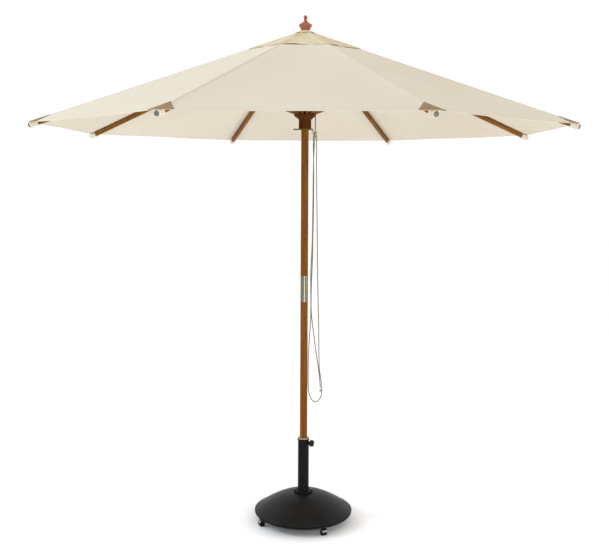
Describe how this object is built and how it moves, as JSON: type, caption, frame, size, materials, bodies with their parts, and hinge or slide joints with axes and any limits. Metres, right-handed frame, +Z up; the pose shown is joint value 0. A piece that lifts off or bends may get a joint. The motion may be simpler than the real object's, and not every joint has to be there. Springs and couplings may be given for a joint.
{
  "type": "patio umbrella with base",
  "caption": "Timber patio umbrella with a canvas canopy and vent cap, raised by cord and pulley, in a weighted dome base that rolls on castors.",
  "frame": {"origin": "on the floor, under the pole's axis", "axes": "+Z up along the pole; the pull cord hangs on the +X side"},
  "size_m": [2.498, 2.498, 2.6073],
  "materials": {
    "oiled_hardwood": "satin",
    "dark_hardwood": "satin",
    "finial_wood": "matte",
    "canvas": "matte",
    "vent_canvas": "matte",
    "polished_steel": "polished",
    "zinc_steel": "satin",
    "cord": "matte",
    "black_concrete": "satin",
    "black_tube": "satin",
    "black_plastic": "gloss",
    "beige_plastic": "matte",
    "castor_hood": "polished",
    "castor_rubber": "gloss"
  },
  "bodies": {
    "base": {"base_dome": "black_concrete", "base_tube": "black_tube", "flange_bolts": "polished_steel"},
    "bush": {"pole_bush": "beige_plastic"},
    "lower_pole": {"lower_pole": "oiled_hardwood", "ferrule_lower": "polished_steel"},
    "upper_pole": {"upper_pole": "oiled_hardwood", "ferrule_upper": "polished_steel", "crown_hub": "oiled_hardwood", "crown_pins": "zinc_steel", "vent_cap": "vent_canvas", "hoist_cord": "cord"},
    "sheave": {"sheave": "zinc_steel"},
    "finial": {"finial": "finial_wood"},
    "runner": {"runner_hub": "dark_hardwood", "runner_pins": "zinc_steel", "pull_cord": "cord", "cord_knot": "cord"},
    "locking_pin": {"locking_pin": "zinc_steel"},
    "clamp_knob": {"clamp_knob": "black_plastic"},
    "rib_1": {"rib_1": "dark_hardwood", "tip_cap_1": "zinc_steel", "canopy_1": "canvas"},
    "rib_2": {"rib_2": "dark_hardwood", "tip_cap_2": "zinc_steel", "canopy_2": "canvas"},
    "rib_3": {"rib_3": "dark_hardwood", "tip_cap_3": "zinc_steel", "canopy_3": "canvas"},
    "rib_4": {"rib_4": "dark_hardwood", "tip_cap_4": "zinc_steel", "canopy_4": "canvas"},
    "rib_5": {"rib_5": "dark_hardwood", "tip_cap_5": "zinc_steel", "canopy_5": "canvas"},
    "rib_6": {"rib_6": "dark_hardwood", "tip_cap_6": "zinc_steel", "canopy_6": "canvas"},
    "rib_7": {"rib_7": "dark_hardwood", "tip_cap_7": "zinc_steel", "canopy_7": "canvas"},
    "rib_8": {"rib_8": "dark_hardwood", "tip_cap_8": "zinc_steel", "canopy_8": "canvas"},
    "strut_1": {"strut_1": "dark_hardwood"},
    "strut_2": {"strut_2": "dark_hardwood"},
    "strut_3": {"strut_3": "dark_hardwood"},
    "strut_4": {"strut_4": "dark_hardwood"},
    "strut_5": {"strut_5": "dark_hardwood"},
    "strut_6": {"strut_6": "dark_hardwood"},
    "strut_7": {"strut_7": "dark_hardwood"},
    "strut_8": {"strut_8": "dark_hardwood"},
    "castor_fork_1": {"castor_fork_1": "castor_hood"},
    "castor_fork_2": {"castor_fork_2": "castor_hood"},
    "castor_fork_3": {"castor_fork_3": "castor_hood"},
    "castor_fork_4": {"castor_fork_4": "castor_hood"},
    "castor_wheel_1": {"castor_wheel_1": "castor_rubber"},
    "castor_wheel_2": {"castor_wheel_2": "castor_rubber"},
    "castor_wheel_3": {"castor_wheel_3": "castor_rubber"},
    "castor_wheel_4": {"castor_wheel_4": "castor_rubber"}
  },
  "joints": [
    {"name": "umbrella_turn", "type": "hinge", "parent": "base", "child": "bush", "pos_m": [0, 0, 0.4], "axis": [0, 0, 1], "continuous": true},
    {"name": "pole_lift", "type": "slide", "parent": "bush", "child": "lower_pole", "axis": [0, 0, 1], "range_m": [0, 0.22]},
    {"name": "upper_pole_lift", "type": "slide", "parent": "lower_pole", "child": "upper_pole", "axis": [0, 0, 1], "range_m": [0, 0.055]},
    {"name": "runner_slide", "type": "slide", "parent": "upper_pole", "child": "runner", "axis": [0, 0, 1], "range_m": [-0.71715, 0], "deforming": ["canopy_1", "canopy_2", "canopy_3", "canopy_4", "canopy_5", "canopy_6", "canopy_7", "canopy_8", "vent_cap", "hoist_cord", "pull_cord", "cord_knot"]},
    {"name": "rib_hinge_1", "type": "hinge", "parent": "upper_pole", "child": "rib_1", "pos_m": [0.04342, 0.01799, 2.49141], "axis": [-0.3827, 0.9239, 0], "range_deg": [0, 65.71]},
    {"name": "rib_hinge_2", "type": "hinge", "parent": "upper_pole", "child": "rib_2", "pos_m": [0.01799, 0.04342, 2.49141], "axis": [-0.9239, 0.3827, 0], "range_deg": [0, 65.71]},
    {"name": "rib_hinge_3", "type": "hinge", "parent": "upper_pole", "child": "rib_3", "pos_m": [-0.01799, 0.04342, 2.49141], "axis": [-0.9239, -0.3827, 0], "range_deg": [0, 65.71]},
    {"name": "rib_hinge_4", "type": "hinge", "parent": "upper_pole", "child": "rib_4", "pos_m": [-0.04342, 0.01799, 2.49141], "axis": [-0.3827, -0.9239, 0], "range_deg": [0, 65.71]},
    {"name": "rib_hinge_5", "type": "hinge", "parent": "upper_pole", "child": "rib_5", "pos_m": [-0.04342, -0.01799, 2.49141], "axis": [0.3827, -0.9239, 0], "range_deg": [0, 65.71]},
    {"name": "rib_hinge_6", "type": "hinge", "parent": "upper_pole", "child": "rib_6", "pos_m": [-0.01799, -0.04342, 2.49141], "axis": [0.9239, -0.3827, 0], "range_deg": [0, 65.71]},
    {"name": "rib_hinge_7", "type": "hinge", "parent": "upper_pole", "child": "rib_7", "pos_m": [0.01799, -0.04342, 2.49141], "axis": [0.9239, 0.3827, 0], "range_deg": [0, 65.71]},
    {"name": "rib_hinge_8", "type": "hinge", "parent": "upper_pole", "child": "rib_8", "pos_m": [0.04342, -0.01799, 2.49141], "axis": [0.3827, 0.9239, 0], "range_deg": [0, 65.71]},
    {"name": "strut_hinge_1", "type": "hinge", "parent": "runner", "child": "strut_1", "pos_m": [0.04342, 0.01799, 2.109], "axis": [-0.3827, 0.9239, 0], "range_deg": [-65.71, 0]},
    {"name": "strut_hinge_2", "type": "hinge", "parent": "runner", "child": "strut_2", "pos_m": [0.01799, 0.04342, 2.109], "axis": [-0.9239, 0.3827, 0], "range_deg": [-65.71, 0]},
    {"name": "strut_hinge_3", "type": "hinge", "parent": "runner", "child": "strut_3", "pos_m": [-0.01799, 0.04342, 2.109], "axis": [-0.9239, -0.3827, 0], "range_deg": [-65.71, 0]},
    {"name": "strut_hinge_4", "type": "hinge", "parent": "runner", "child": "strut_4", "pos_m": [-0.04342, 0.01799, 2.109], "axis": [-0.3827, -0.9239, 0], "range_deg": [-65.71, 0]},
    {"name": "strut_hinge_5", "type": "hinge", "parent": "runner", "child": "strut_5", "pos_m": [-0.04342, -0.01799, 2.109], "axis": [0.3827, -0.9239, 0], "range_deg": [-65.71, 0]},
    {"name": "strut_hinge_6", "type": "hinge", "parent": "runner", "child": "strut_6", "pos_m": [-0.01799, -0.04342, 2.109], "axis": [0.9239, -0.3827, 0], "range_deg": [-65.71, 0]},
    {"name": "strut_hinge_7", "type": "hinge", "parent": "runner", "child": "strut_7", "pos_m": [0.01799, -0.04342, 2.109], "axis": [0.9239, 0.3827, 0], "range_deg": [-65.71, 0]},
    {"name": "strut_hinge_8", "type": "hinge", "parent": "runner", "child": "strut_8", "pos_m": [0.04342, -0.01799, 2.109], "axis": [0.3827, 0.9239, 0], "range_deg": [-65.71, 0]},
    {"name": "sheave_spin", "type": "hinge", "parent": "upper_pole", "child": "sheave", "pos_m": [0, 0, 2.42941], "axis": [0, 1, 0], "range_deg": [-1800, 0]},
    {"name": "finial_unscrew", "type": "hinge", "parent": "upper_pole", "child": "finial", "pos_m": [0, 0, 2.53], "axis": [0, 0, 1], "continuous": true},
    {"name": "pin_pull", "type": "slide", "parent": "upper_pole", "child": "locking_pin", "axis": [1, 0, 0], "range_m": [0, 0.09]},
    {"name": "knob_turn", "type": "hinge", "parent": "base", "child": "clamp_knob", "pos_m": [0.04513, -0.02153, 0.406], "axis": [0.9026, -0.4305, 0], "range_deg": [0, 720]},
    {"name": "castor_swivel_1", "type": "hinge", "parent": "base", "child": "castor_fork_1", "pos_m": [0.19727, 0.10182, 0.04], "axis": [0, 0, 1], "continuous": true},
    {"name": "castor_spin_1", "type": "hinge", "parent": "castor_fork_1", "child": "castor_wheel_1", "pos_m": [0.20883, 0.10778, 0.015], "axis": [-0.4586, 0.8886, 0], "continuous": true},
    {"name": "castor_swivel_2", "type": "hinge", "parent": "base", "child": "castor_fork_2", "pos_m": [-0.10182, 0.19727, 0.04], "axis": [0, 0, 1], "continuous": true},
    {"name": "castor_spin_2", "type": "hinge", "parent": "castor_fork_2", "child": "castor_wheel_2", "pos_m": [-0.10778, 0.20883, 0.015], "axis": [-0.8886, -0.4586, 0], "continuous": true},
    {"name": "castor_swivel_3", "type": "hinge", "parent": "base", "child": "castor_fork_3", "pos_m": [-0.19727, -0.10182, 0.04], "axis": [0, 0, 1], "continuous": true},
    {"name": "castor_spin_3", "type": "hinge", "parent": "castor_fork_3", "child": "castor_wheel_3", "pos_m": [-0.20883, -0.10778, 0.015], "axis": [0.4586, -0.8886, 0], "continuous": true},
    {"name": "castor_swivel_4", "type": "hinge", "parent": "base", "child": "castor_fork_4", "pos_m": [0.10182, -0.19727, 0.04], "axis": [0, 0, 1], "continuous": true},
    {"name": "castor_spin_4", "type": "hinge", "parent": "castor_fork_4", "child": "castor_wheel_4", "pos_m": [0.10778, -0.20883, 0.015], "axis": [0.8886, 0.4586, 0], "continuous": true}
  ],
  "couplings": [
    {"joint": "rib_hinge_1", "follows": "runner_slide", "rad_per_m": -1.5989},
    {"joint": "rib_hinge_2", "follows": "runner_slide", "rad_per_m": -1.5989},
    {"joint": "rib_hinge_3", "follows": "runner_slide", "rad_per_m": -1.5989},
    {"joint": "rib_hinge_4", "follows": "runner_slide", "rad_per_m": -1.5989},
    {"joint": "rib_hinge_5", "follows": "runner_slide", "rad_per_m": -1.5989},
    {"joint": "rib_hinge_6", "follows": "runner_slide", "rad_per_m": -1.5989},
    {"joint": "rib_hinge_7", "follows": "runner_slide", "rad_per_m": -1.5989},
    {"joint": "rib_hinge_8", "follows": "runner_slide", "rad_per_m": -1.5989},
    {"joint": "strut_hinge_1", "follows": "runner_slide", "rad_per_m": 1.5989},
    {"joint": "strut_hinge_2", "follows": "runner_slide", "rad_per_m": 1.5989},
    {"joint": "strut_hinge_3", "follows": "runner_slide", "rad_per_m": 1.5989},
    {"joint": "strut_hinge_4", "follows": "runner_slide", "rad_per_m": 1.5989},
    {"joint": "strut_hinge_5", "follows": "runner_slide", "rad_per_m": 1.5989},
    {"joint": "strut_hinge_6", "follows": "runner_slide", "rad_per_m": 1.5989},
    {"joint": "strut_hinge_7", "follows": "runner_slide", "rad_per_m": 1.5989},
    {"joint": "strut_hinge_8", "follows": "runner_slide", "rad_per_m": 1.5989},
    {"joint": "sheave_spin", "follows": "runner_slide", "rad_per_m": 43.478}
  ]
}
